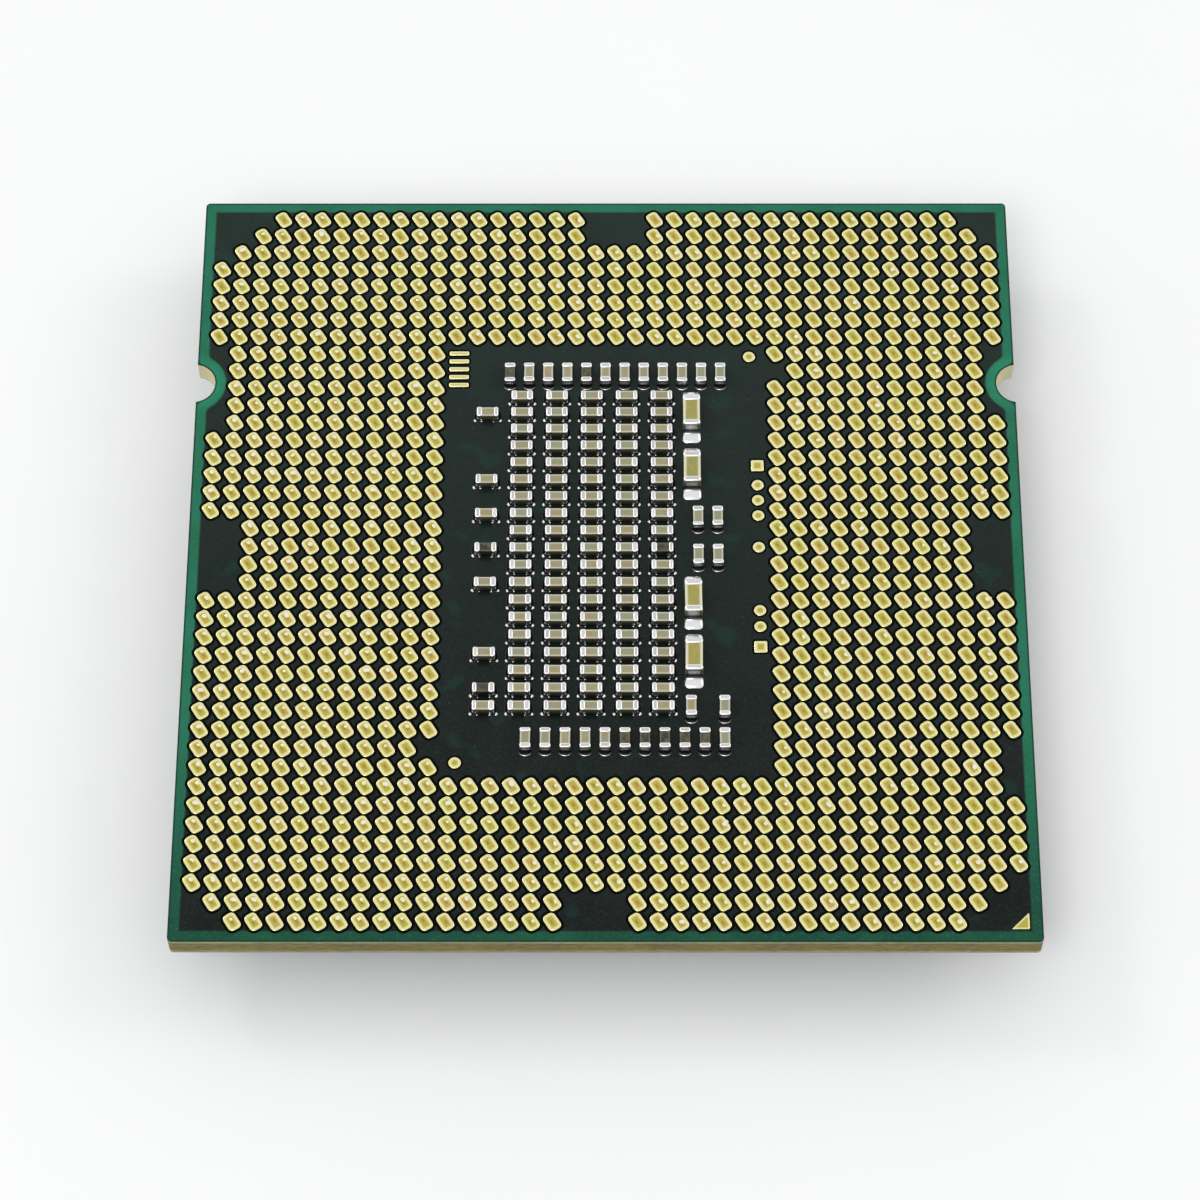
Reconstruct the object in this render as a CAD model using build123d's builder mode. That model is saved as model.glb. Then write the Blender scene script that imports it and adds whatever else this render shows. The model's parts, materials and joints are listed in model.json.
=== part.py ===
from build123d import *

import math
import os
from collections import namedtuple

os.makedirs("parts", exist_ok=True)

# A land-grid-array processor package, in millimetres. It lies on the flat outer face of its
# heat spreader, which is z = 0, with its contact lands facing up (+Z). X and Y are centred.

# ---------------------------------------------------------------- driving dimensions
package_side = 37.5
corner_radius = 0.2
land_plane = 4.38  # height of the contact lands above the heat spreader's outer face

# Key notches, one in each side edge.
notch_radius = 1.0
notch_depth = 0.85
notch_y = 8.95
notch_x = package_side / 2 + notch_radius - notch_depth

# Contact lands: tilted rounded rectangles on a square grid.
land_pitch = 0.9144
land_rows = 40
land_columns = 40
land_width = 0.59
land_length = 0.83
land_corner = 0.17
land_tilt = 32.5
land_height = 0.03

# Blocks of the grid that hold no land: first row, last row, first column, last column.
# Row 0 is the back (+Y) row and column 0 the left (-X) column.
component_field = (8, 31, 12, 27)
bare_blocks = [
    component_field,
    # back left corner, stepped
    (0, 0, 0, 2),
    (1, 1, 0, 1),
    (2, 2, 0, 0),
    # back right corner, stepped
    (0, 0, 38, 39),
    (1, 1, 39, 39),
    # front left corner, stepped
    (38, 38, 0, 0),
    (39, 39, 0, 1),
    # front right corner, stepped round the pin-one triangle
    (37, 37, 39, 39),
    (38, 38, 38, 39),
    (39, 39, 37, 39),
    # middle of the back and front edges
    (0, 1, 19, 21),
    (38, 39, 18, 20),
    # middle of the left and right edges
    (18, 21, 0, 1),
    (18, 21, 38, 39),
    # beside the key notches
    (8, 12, 0, 0),
    (8, 11, 39, 39),
    # right edge, in front of its middle
    (30, 32, 39, 39),
    # beside the two fiducial pads
    (9, 9, 28, 28),
    (30, 30, 11, 11),
]

# Laminate stack, from the land side: mask, build-up layer, core, build-up layer, mask.
mask_thickness = 0.025
build_up_thickness = 0.16
core_thickness = 0.8
outer_copper_thickness = 0.02
core_copper_thickness = 0.03
outer_copper_setback = 0.48
core_copper_setback = 0.6

land_side_mask_face = land_plane - land_height
build_up_land_top = land_side_mask_face - mask_thickness
core_top = build_up_land_top - build_up_thickness
core_bottom = core_top - core_thickness
build_up_die_bottom = core_bottom - build_up_thickness
die_side_mask_face = build_up_die_bottom - mask_thickness

# Plated vias through the core, under the die.
via_radius = 0.15
via_pitch = 1.6
via_count = 8

# Markings and pads in gold on the land side.
gold_thickness = 0.015
triangle_corner = 18.16
triangle_leg = 0.765
fiducial_radius = 0.275
fiducial_places = [(6.59, 10.36), (-6.59, -10.30)]
test_pad_x = 6.88
round_pad_radius = 0.27
round_pad_y = [3.60, 2.82, 2.03, 0.41, -2.79, -3.60]
square_pad_side = 0.57
square_pad_y = [4.61, -4.61]
ident_bar_length = 0.9
ident_bar_width = 0.22
ident_bar_pitch = 0.42
ident_bar_count = 5
ident_x = -6.73
ident_y = 9.70

# Chip capacitors. The solder reaches beyond each end of a chip and climbs it. The chips that lie
# along X stand close together, so their pads are shorter.
Chip = namedtuple("Chip", "length width height terminal pad_width reach climb")
close_chip = Chip(1.0, 0.5, 0.5, terminal=0.25, pad_width=0.6, reach=0.13, climb=0.26)
small_chip = close_chip._replace(reach=0.20)
large_chip = Chip(1.62, 0.82, 0.8, terminal=0.34, pad_width=0.86, reach=0.52, climb=0.36)
terminal_wall = 0.025
pad_thickness = 0.015
pad_margin = 0.02

column_pitch = 1.588
array_first_x = -3.81
array_columns = 5
row_pitch = 0.876
array_first_y = 8.05
array_rows = 19
side_column_x = -5.38
side_column_rows = [1, 5, 7, 9, 11, 15, 17, 18]
chip_pitch = 0.8745
back_row_first_x = -4.38
back_row_y = 9.27
back_row_count = 12
front_row_first_x = -3.52
front_row_y = -9.29
front_row_count = 11
pair_places = [(4.16, 1.78), (5.04, 1.78), (4.16, -0.17), (5.04, -0.17), (3.77, -7.71), (5.24, -7.71)]
large_x = 3.91
large_y = [7.13, 4.17, -2.42, -5.33]

# Chips with a dark body, by their place in each group.
dark_in_group = {
    "array": [(9, 4)],
    "side_column": [9, 17],
    "back_row": [0, 4],
    "front_row": [5, 6, 7, 8, 9],
}

# Heat spreader: a plateau, a lower flange that the socket's load plate presses on, a cavity.
plateau_length = 28.8
plateau_width = 30.6
plateau_corner = 1.6
flange_length = 34.0
flange_width = 32.0
flange_corner = 1.8
ledge_height = 1.05
cavity_roof = 1.90
cavity_length = 30.0
cavity_width = 28.0
cavity_corner = 2.0
sealant_thickness = 0.12
sealant_inset = 0.35
vent_gap = 3.0
spreader_chamfer = 0.25
spreader_foot = die_side_mask_face - sealant_thickness

# Die and what joins it to the laminate and the spreader.
die_length = 21.6
die_width = 13.6
die_thickness = 0.775
bump_height = 0.08
bump_radius = 0.05
bump_pitch = 1.3
bump_columns = 16
bump_rows = 10
underfill_climb = 0.45
underfill_reach = 0.55
underfill_toe = 0.05  # how far the skirt stands off the die at its upper end
die_near_laminate = die_side_mask_face - bump_height
die_near_spreader = die_near_laminate - die_thickness

# Pin-one triangle on the spreader side.
die_side_triangle_leg = 1.1


# ---------------------------------------------------------------- shared shapes
def package_outline(setback=0.0):
    """The package outline with its two key notches, shrunk evenly by a setback."""
    side = package_side - 2 * setback
    with BuildSketch() as outline:
        RectangleRounded(side, side, corner_radius)
        with Locations((-notch_x, notch_y), (notch_x, notch_y)):
            Circle(notch_radius + setback, mode=Mode.SUBTRACT)
    return outline.sketch


def land_present(row, column):
    """True where the grid holds a land."""
    for first_row, last_row, first_column, last_column in bare_blocks:
        if first_row <= row <= last_row and first_column <= column <= last_column:
            return False
    return True


def land_centres(first_row, last_row, first_column, last_column):
    """Centres of the lands in a block of the grid."""
    centres = []
    for row in range(first_row, last_row + 1):
        for column in range(first_column, last_column + 1):
            if land_present(row, column):
                x = (column - (land_columns - 1) / 2) * land_pitch
                y = ((land_rows - 1) / 2 - row) * land_pitch
                centres.append((x, y))
    return centres


def chip_body(chip):
    """The ceramic block of one chip, on its pads, with its length along X."""
    with BuildPart() as body:
        with Locations((0, 0, pad_thickness + terminal_wall)):
            Box(
                chip.length - 2 * terminal_wall,
                chip.width - 2 * terminal_wall,
                chip.height - 2 * terminal_wall,
                align=(Align.CENTER, Align.CENTER, Align.MIN),
            )
    return body.part


def chip_terminals(chip):
    """The two metal end caps of one chip, each a box with a pocket for the ceramic block."""
    terminal_x = (chip.length - chip.terminal) / 2
    with BuildPart() as terminals:
        with Locations((-terminal_x, 0, pad_thickness), (terminal_x, 0, pad_thickness)):
            Box(chip.terminal, chip.width, chip.height, align=(Align.CENTER, Align.CENTER, Align.MIN))
        add(chip_body(chip), mode=Mode.SUBTRACT)
    return terminals.part


def chip_solder(chip):
    """The solder fillets that climb the two ends of one chip."""
    end_x = chip.length / 2
    with BuildPart() as solder:
        with BuildSketch(Plane.XZ):
            with BuildLine():
                Polyline(
                    (end_x, pad_thickness),
                    (end_x + chip.reach, pad_thickness),
                    (end_x, pad_thickness + chip.climb),
                    close=True,
                )
            make_face()
        extrude(amount=chip.width / 2 - pad_margin, both=True)
        mirror(about=Plane.YZ)
    return solder.part


def chip_pads(chip):
    """The two pads that one chip is soldered to."""
    pad_length = chip.terminal + chip.reach + 2 * pad_margin
    pad_x = chip.length / 2 + chip.reach + pad_margin - pad_length / 2
    with BuildPart() as pads:
        with Locations((-pad_x, 0, 0), (pad_x, 0, 0)):
            Box(pad_length, chip.pad_width, pad_thickness, align=(Align.CENTER, Align.CENTER, Align.MIN))
    return pads.part


def chip_places(centres, turn):
    """Where chips stand on the land-side mask, turned about Z by a number of degrees."""
    return [Location((x, y, land_side_mask_face), (0, 0, turn)) for x, y in centres]


# ---------------------------------------------------------------- laminate
with BuildPart() as laminate_core:
    with BuildSketch(Plane.XY.offset(core_bottom)):
        add(package_outline())
        with GridLocations(via_pitch, via_pitch, via_count, via_count):
            Circle(via_radius, mode=Mode.SUBTRACT)
    extrude(amount=core_thickness)
laminate_core.part.label = "laminate_core"
export_step(laminate_core.part, "parts/laminate_core.step")

with BuildPart() as through_vias:
    with BuildSketch(Plane.XY.offset(core_bottom)):
        with GridLocations(via_pitch, via_pitch, via_count, via_count):
            Circle(via_radius)
    extrude(amount=core_thickness)
through_vias.part.label = "through_vias"
export_step(through_vias.part, "parts/through_vias.step")

# Each side of the core carries the same layers: which way they go, and where they start.
laminate_sides = [("land_side", core_top, 1), ("die_side", core_bottom, -1)]
for side_name, core_face, direction in laminate_sides:
    mask_base = core_face + direction * build_up_thickness
    outer_copper_base = mask_base - direction * outer_copper_thickness

    with BuildPart() as core_copper:
        with BuildSketch(Plane.XY.offset(core_face)):
            add(package_outline(core_copper_setback))
        extrude(amount=direction * core_copper_thickness)
    core_copper.part.label = f"core_copper_{side_name}"
    export_step(core_copper.part, f"parts/core_copper_{side_name}.step")

    with BuildPart() as outer_copper:
        with BuildSketch(Plane.XY.offset(outer_copper_base)):
            add(package_outline(outer_copper_setback))
        extrude(amount=direction * outer_copper_thickness)
    outer_copper.part.label = f"outer_copper_{side_name}"
    export_step(outer_copper.part, f"parts/outer_copper_{side_name}.step")

    with BuildPart() as build_up:
        with BuildSketch(Plane.XY.offset(core_face)):
            add(package_outline())
        extrude(amount=direction * build_up_thickness)
        add(core_copper.part, mode=Mode.SUBTRACT)
        add(outer_copper.part, mode=Mode.SUBTRACT)
    build_up.part.label = f"build_up_{side_name}"
    export_step(build_up.part, f"parts/build_up_{side_name}.step")

    with BuildPart() as solder_mask:
        with BuildSketch(Plane.XY.offset(mask_base)):
            add(package_outline())
        extrude(amount=direction * mask_thickness)
    solder_mask.part.label = f"solder_mask_{side_name}"
    export_step(solder_mask.part, f"parts/solder_mask_{side_name}.step")

# ---------------------------------------------------------------- contact lands
field_first_row, field_last_row, field_first_column, field_last_column = component_field
land_banks = {
    "lands_back": (0, field_first_row - 1, 0, land_columns - 1),
    "lands_left": (field_first_row, field_last_row, 0, field_first_column - 1),
    "lands_right": (field_first_row, field_last_row, field_last_column + 1, land_columns - 1),
    "lands_front": (field_last_row + 1, land_rows - 1, 0, land_columns - 1),
}
land_count = 0
for bank_name, block in land_banks.items():
    centres = land_centres(*block)
    land_count += len(centres)
    with BuildPart() as lands:
        with BuildSketch(Plane.XY.offset(land_side_mask_face)):
            with Locations(*centres):
                RectangleRounded(land_width, land_length, land_corner, rotation=land_tilt)
        extrude(amount=land_height)
    lands.part.label = bank_name
    export_step(lands.part, f"parts/{bank_name}.step", write_pcurves=False)
print("contact lands:", land_count)

# ---------------------------------------------------------------- gold pads and markings
with BuildPart() as pin_one_triangle:
    with BuildSketch(Plane.XY.offset(land_side_mask_face)):
        with BuildLine():
            Polyline(
                (triangle_corner, -triangle_corner),
                (triangle_corner, -triangle_corner + triangle_leg),
                (triangle_corner - triangle_leg, -triangle_corner),
                close=True,
            )
        make_face()
    extrude(amount=gold_thickness)
pin_one_triangle.part.label = "pin_one_triangle"
export_step(pin_one_triangle.part, "parts/pin_one_triangle.step")

with BuildPart() as pin_one_triangle_die_side:
    with BuildSketch(Plane.XY.offset(die_side_mask_face)):
        with BuildLine():
            Polyline(
                (triangle_corner, -triangle_corner),
                (triangle_corner, -triangle_corner + die_side_triangle_leg),
                (triangle_corner - die_side_triangle_leg, -triangle_corner),
                close=True,
            )
        make_face()
    extrude(amount=-gold_thickness)
pin_one_triangle_die_side.part.label = "pin_one_triangle_die_side"
export_step(pin_one_triangle_die_side.part, "parts/pin_one_triangle_die_side.step")

with BuildPart() as fiducial_pads:
    with BuildSketch(Plane.XY.offset(land_side_mask_face)):
        with Locations(*fiducial_places):
            Circle(fiducial_radius)
    extrude(amount=gold_thickness)
fiducial_pads.part.label = "fiducial_pads"
export_step(fiducial_pads.part, "parts/fiducial_pads.step")

with BuildPart() as round_test_pads:
    with BuildSketch(Plane.XY.offset(land_side_mask_face)):
        with Locations(*[(test_pad_x, y) for y in round_pad_y]):
            Circle(round_pad_radius)
    extrude(amount=gold_thickness)
round_test_pads.part.label = "round_test_pads"
export_step(round_test_pads.part, "parts/round_test_pads.step")

with BuildPart() as square_test_pads:
    with BuildSketch(Plane.XY.offset(land_side_mask_face)):
        with Locations(*[(test_pad_x, y) for y in square_pad_y]):
            Rectangle(square_pad_side, square_pad_side)
    extrude(amount=gold_thickness)
square_test_pads.part.label = "square_test_pads"
export_step(square_test_pads.part, "parts/square_test_pads.step")

# A plain ladder of bars stands for the package's ident mark.
with BuildPart() as ident_bars:
    with BuildSketch(Plane.XY.offset(land_side_mask_face)):
        with Locations((ident_x, ident_y)):
            with GridLocations(ident_bar_length, ident_bar_pitch, 1, ident_bar_count):
                Rectangle(ident_bar_length, ident_bar_width)
    extrude(amount=gold_thickness)
ident_bars.part.label = "ident_bars"
export_step(ident_bars.part, "parts/ident_bars.step")

# ---------------------------------------------------------------- chip capacitors
row_y = [array_first_y - row * row_pitch for row in range(array_rows)]
column_x = [array_first_x + column * column_pitch for column in range(array_columns)]

# The chips' centres, by their index in each group.
array_centres = {(row, column): (x, y) for row, y in enumerate(row_y) for column, x in enumerate(column_x)}
side_column_centres = {row: (side_column_x, row_y[row]) for row in side_column_rows}
back_row_centres = {i: (back_row_first_x + i * chip_pitch, back_row_y) for i in range(back_row_count)}
front_row_centres = {i: (front_row_first_x + i * chip_pitch, front_row_y) for i in range(front_row_count)}
paired_centres = dict(enumerate(pair_places))
large_centres = {i: (large_x, y) for i, y in enumerate(large_y)}

# Each group: its centres, the turn of its chips about Z and their size.
chip_groups = {
    "array": (array_centres, 0, close_chip),
    "side_column": (side_column_centres, 0, close_chip),
    "back_row": (back_row_centres, 90, small_chip),
    "front_row": (front_row_centres, 90, small_chip),
    "paired": (paired_centres, 90, small_chip),
    "large": (large_centres, 90, large_chip),
}

dark_places = []
for group_name, (centres, turn, chip) in chip_groups.items():
    dark_keys = dark_in_group.get(group_name, [])
    light_centres = [centre for key, centre in centres.items() if key not in dark_keys]
    dark_places += chip_places([centres[key] for key in dark_keys], turn)
    all_places = chip_places(centres.values(), turn)

    with BuildPart() as bodies:
        with Locations(*chip_places(light_centres, turn)):
            add(chip_body(chip))
    bodies.part.label = f"{group_name}_capacitor_bodies"
    export_step(bodies.part, f"parts/{group_name}_capacitor_bodies.step")

    with BuildPart() as terminals:
        with Locations(*all_places):
            add(chip_terminals(chip))
    terminals.part.label = f"{group_name}_capacitor_terminals"
    export_step(terminals.part, f"parts/{group_name}_capacitor_terminals.step", write_pcurves=False)

    with BuildPart() as solder:
        with Locations(*all_places):
            add(chip_solder(chip))
    solder.part.label = f"{group_name}_solder_fillets"
    export_step(solder.part, f"parts/{group_name}_solder_fillets.step", write_pcurves=False)

    with BuildPart() as pads:
        with Locations(*all_places):
            add(chip_pads(chip))
    pads.part.label = f"{group_name}_chip_pads"
    export_step(pads.part, f"parts/{group_name}_chip_pads.step", write_pcurves=False)

with BuildPart() as dark_chip_bodies:
    with Locations(*dark_places):
        add(chip_body(small_chip))
dark_chip_bodies.part.label = "dark_chip_bodies"
export_step(dark_chip_bodies.part, "parts/dark_chip_bodies.step")

# ---------------------------------------------------------------- die and its joints
with BuildPart() as silicon_die:
    with BuildSketch(Plane.XY.offset(die_near_spreader)):
        Rectangle(die_length, die_width)
    extrude(amount=die_thickness)
silicon_die.part.label = "silicon_die"
export_step(silicon_die.part, "parts/silicon_die.step")

with BuildPart() as die_bumps:
    with BuildSketch(Plane.XY.offset(die_near_laminate)):
        with GridLocations(bump_pitch, bump_pitch, bump_columns, bump_rows):
            Circle(bump_radius)
    extrude(amount=bump_height)
die_bumps.part.label = "die_bumps"
export_step(die_bumps.part, "parts/die_bumps.step")

# The underfill fills the gap round the bumps and climbs the die's sides in a sloped skirt.
with BuildPart() as underfill:
    with BuildSketch(Plane.XY.offset(die_side_mask_face)):
        Rectangle(die_length + 2 * underfill_reach, die_width + 2 * underfill_reach)
    skirt_angle = math.degrees(math.atan((underfill_reach - underfill_toe) / underfill_climb))
    extrude(amount=-underfill_climb, taper=skirt_angle)
    add(silicon_die.part, mode=Mode.SUBTRACT)
    add(die_bumps.part, mode=Mode.SUBTRACT)
underfill.part.label = "underfill"
export_step(underfill.part, "parts/underfill.step")

with BuildPart() as thermal_interface:
    with BuildSketch(Plane.XY.offset(cavity_roof)):
        Rectangle(die_length, die_width)
    extrude(amount=die_near_spreader - cavity_roof)
thermal_interface.part.label = "thermal_interface"
export_step(thermal_interface.part, "parts/thermal_interface.step")

# ---------------------------------------------------------------- heat spreader
with BuildPart() as heat_spreader:
    with BuildSketch(Plane.XY):
        RectangleRounded(plateau_length, plateau_width, plateau_corner)
    extrude(amount=ledge_height)
    chamfer(heat_spreader.faces().sort_by(Axis.Z)[0].edges(), length=spreader_chamfer)
    with BuildSketch(Plane.XY.offset(ledge_height)):
        RectangleRounded(flange_length, flange_width, flange_corner)
    extrude(amount=spreader_foot - ledge_height)
    with BuildSketch(Plane.XY.offset(cavity_roof)):
        RectangleRounded(cavity_length, cavity_width, cavity_corner)
    extrude(amount=spreader_foot - cavity_roof, mode=Mode.SUBTRACT)
heat_spreader.part.label = "heat_spreader"
export_step(heat_spreader.part, "parts/heat_spreader.step")

# The sealant follows the spreader's foot, and leaves one gap for air to leave the cavity.
bead_outer_length = flange_length - 2 * sealant_inset
bead_outer_width = flange_width - 2 * sealant_inset
bead_inner_length = cavity_length + 2 * sealant_inset
bead_inner_width = cavity_width + 2 * sealant_inset
with BuildPart() as sealant_bead:
    with BuildSketch(Plane.XY.offset(spreader_foot)):
        RectangleRounded(bead_outer_length, bead_outer_width, flange_corner)
        RectangleRounded(bead_inner_length, bead_inner_width, cavity_corner, mode=Mode.SUBTRACT)
        with Locations((0, -flange_width / 2)):
            Rectangle(vent_gap, flange_width / 2, mode=Mode.SUBTRACT)
    extrude(amount=sealant_thickness)
sealant_bead.part.label = "sealant_bead"
export_step(sealant_bead.part, "parts/sealant_bead.step")
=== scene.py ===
import json
import math
import random

import bpy
from mathutils import Matrix, Quaternion, Vector


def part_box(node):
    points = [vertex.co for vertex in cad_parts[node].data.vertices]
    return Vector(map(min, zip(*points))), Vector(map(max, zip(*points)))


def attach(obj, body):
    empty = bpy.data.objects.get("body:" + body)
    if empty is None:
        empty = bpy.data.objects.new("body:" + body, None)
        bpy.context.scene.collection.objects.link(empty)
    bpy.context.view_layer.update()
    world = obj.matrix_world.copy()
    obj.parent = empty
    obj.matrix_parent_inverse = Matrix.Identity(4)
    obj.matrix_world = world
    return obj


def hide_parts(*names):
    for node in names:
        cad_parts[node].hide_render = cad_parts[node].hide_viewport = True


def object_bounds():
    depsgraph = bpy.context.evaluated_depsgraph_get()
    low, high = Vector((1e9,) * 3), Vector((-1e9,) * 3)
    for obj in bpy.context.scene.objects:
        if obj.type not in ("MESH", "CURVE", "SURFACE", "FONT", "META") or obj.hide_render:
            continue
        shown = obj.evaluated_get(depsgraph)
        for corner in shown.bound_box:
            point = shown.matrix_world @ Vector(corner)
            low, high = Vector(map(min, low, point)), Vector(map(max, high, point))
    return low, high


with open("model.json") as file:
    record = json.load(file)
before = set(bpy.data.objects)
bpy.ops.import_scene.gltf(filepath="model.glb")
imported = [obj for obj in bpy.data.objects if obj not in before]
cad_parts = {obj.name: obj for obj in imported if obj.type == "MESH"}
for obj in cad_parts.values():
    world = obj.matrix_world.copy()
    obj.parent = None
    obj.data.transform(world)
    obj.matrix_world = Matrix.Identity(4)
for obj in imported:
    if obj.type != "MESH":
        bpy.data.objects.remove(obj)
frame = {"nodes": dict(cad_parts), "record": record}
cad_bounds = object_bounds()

# A land-grid-array processor package, lying on its heat spreader with its lands up.
# Sizes are in millimetres times MM. Places come from the CAD nodes and the record's mounts.
MM = 0.001
BODY = "root"
SEED = 1156


def mount_place(name):
    """The position of one of the record's mounts."""
    return next(m for m in frame["record"]["mounts"] if m["name"] == name)["pos_m"]


# ---------------------------------------------------------------- named sizes
HALF_SIDE = cad_bounds[1][0]
MASK_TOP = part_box("solder_mask_land_side")[1][2]
NOTCH = mount_place("key_notch_right")
NOTCH_RADIUS = 1.0 * MM
COPPER_SETBACK = 0.48 * MM

LAND_HALF_WIDTH = 0.295 * MM
LAND_HALF_LENGTH = 0.415 * MM
LAND_CORNER = 0.21 * MM
LAND_TILT = math.radians(32.5)


# ---------------------------------------------------------------- reading the CAD nodes
# Steps in a metre: vertices in one fine step are one vertex, and boxes in one coarse step one row.
WELD_STEPS = 1e7
ROW_STEPS = 1e5


def solids(node):
    """The box, as (lowest, highest) corner, of each separate solid of a CAD node, back row first."""
    mesh = frame["nodes"][node].data
    keys = [tuple(round(c * WELD_STEPS) for c in vertex.co) for vertex in mesh.vertices]
    parent = {key: key for key in keys}

    def root(key):
        while parent[key] != key:
            parent[key] = parent[parent[key]]
            key = parent[key]
        return key

    for polygon in mesh.polygons:
        first = root(keys[polygon.vertices[0]])
        for index in polygon.vertices[1:]:
            parent[root(keys[index])] = first
    boxes = {}
    for key, vertex in zip(keys, mesh.vertices):
        low, high = boxes.setdefault(root(key), (vertex.co.copy(), vertex.co.copy()))
        for axis in range(3):
            low[axis] = min(low[axis], vertex.co[axis])
            high[axis] = max(high[axis], vertex.co[axis])

    def reading_order(box):
        return -round((box[0].y + box[1].y) * ROW_STEPS), box[0].x

    return sorted(boxes.values(), key=reading_order)


def middle(box):
    """The centre of a box."""
    return (box[0] + box[1]) / 2


# ---------------------------------------------------------------- outlines and shapes
def rounded_outline(half_x, half_y, radius, corner_steps=4):
    """Points round a rounded rectangle about the origin, counter-clockwise."""
    points = []
    for quarter, (side_x, side_y) in enumerate([(1, 1), (-1, 1), (-1, -1), (1, -1)]):
        for step in range(corner_steps + 1):
            angle = (quarter + step / corner_steps) * math.pi / 2
            x = side_x * (half_x - radius) + radius * math.cos(angle)
            y = side_y * (half_y - radius) + radius * math.sin(angle)
            points.append((x, y))
    return points


def lerp(a, b, t):
    """The value a share t of the way from a to b."""
    return a + (b - a) * t


def clamp(value):
    """A value kept from 0 to 1."""
    return max(0.0, min(1.0, value))


def level_ring(outline, height, centre=(0.0, 0.0)):
    """An outline laid level at a height, round a centre."""
    return [Vector((centre[0] + x, centre[1] + y, height)) for x, y in outline]


def moved(place, rings):
    """Rings moved by a matrix."""
    return [[place @ point for point in ring] for ring in rings]


def rims_of(table):
    """The last column of a table of rings, which holds their rim values."""
    return [row[-1] for row in table]


class Shape:
    """The vertices and faces of one piece. Each vertex has a tint, which differs from one small
    item to the next, and a rim value: 1 on a raised edge, over 1 on a burr, below 0 on a side. The
    materials paint highlights and shade from the rim value."""

    def __init__(self):
        self.points = []
        self.faces = []
        self.slots = []
        self.tints = []
        self.rims = []

    def loft(self, rings, slot=0, tint=0.5, rims=None, start_cap=False, end_cap=True, centre=None):
        """Joins rings of points with quads, and closes the ends with a face or a centre point."""
        first = len(self.points)
        size = len(rings[0])
        for level, ring in enumerate(rings):
            self.points += ring
            self.tints += [tint] * size
            rim = rims[level] if rims else 0.0
            self.rims += rim if isinstance(rim, list) else [rim] * size
        for level in range(len(rings) - 1):
            below = first + level * size
            for i in range(size):
                j = (i + 1) % size
                self.add_face((below + i, below + j, below + size + j, below + size + i), slot)
        last = first + (len(rings) - 1) * size
        if start_cap:
            self.add_face(tuple(first + i for i in reversed(range(size))), slot)
        if centre is not None:
            self.points.append(centre)
            self.tints.append(tint)
            self.rims.append(rims[-1] if rims else 0.0)
            for i in range(size):
                self.add_face((last + i, last + (i + 1) % size, last + size), slot)
        elif end_cap:
            self.add_face(tuple(last + i for i in range(size)), slot)

    def add_face(self, corners, slot):
        """Adds a face from the numbers of its vertices, with its material's slot."""
        self.faces.append(corners)
        self.slots.append(slot)

    def build(self, name, materials, sharp=40.0):
        """Makes the object, smooth but for edges sharper than an angle in degrees."""
        mesh = bpy.data.meshes.new(name)
        mesh.from_pydata([tuple(point) for point in self.points], [], self.faces)
        for material in materials:
            mesh.materials.append(material)
        mesh.polygons.foreach_set("material_index", self.slots)
        mesh.polygons.foreach_set("use_smooth", [True] * len(self.faces))
        for label, values in (("tint", self.tints), ("rim", self.rims)):
            mesh.attributes.new(label, "FLOAT", "POINT").data.foreach_set("value", values)
        mesh.set_sharp_from_angle(angle=math.radians(sharp))
        piece = bpy.data.objects.new(name, mesh)
        bpy.context.scene.collection.objects.link(piece)
        return piece


def stand_for(piece, slot, *nodes):
    """A finished piece rides on the package and replaces its CAD nodes. The slot is not used."""
    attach(piece, BODY)
    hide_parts(*nodes)


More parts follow.
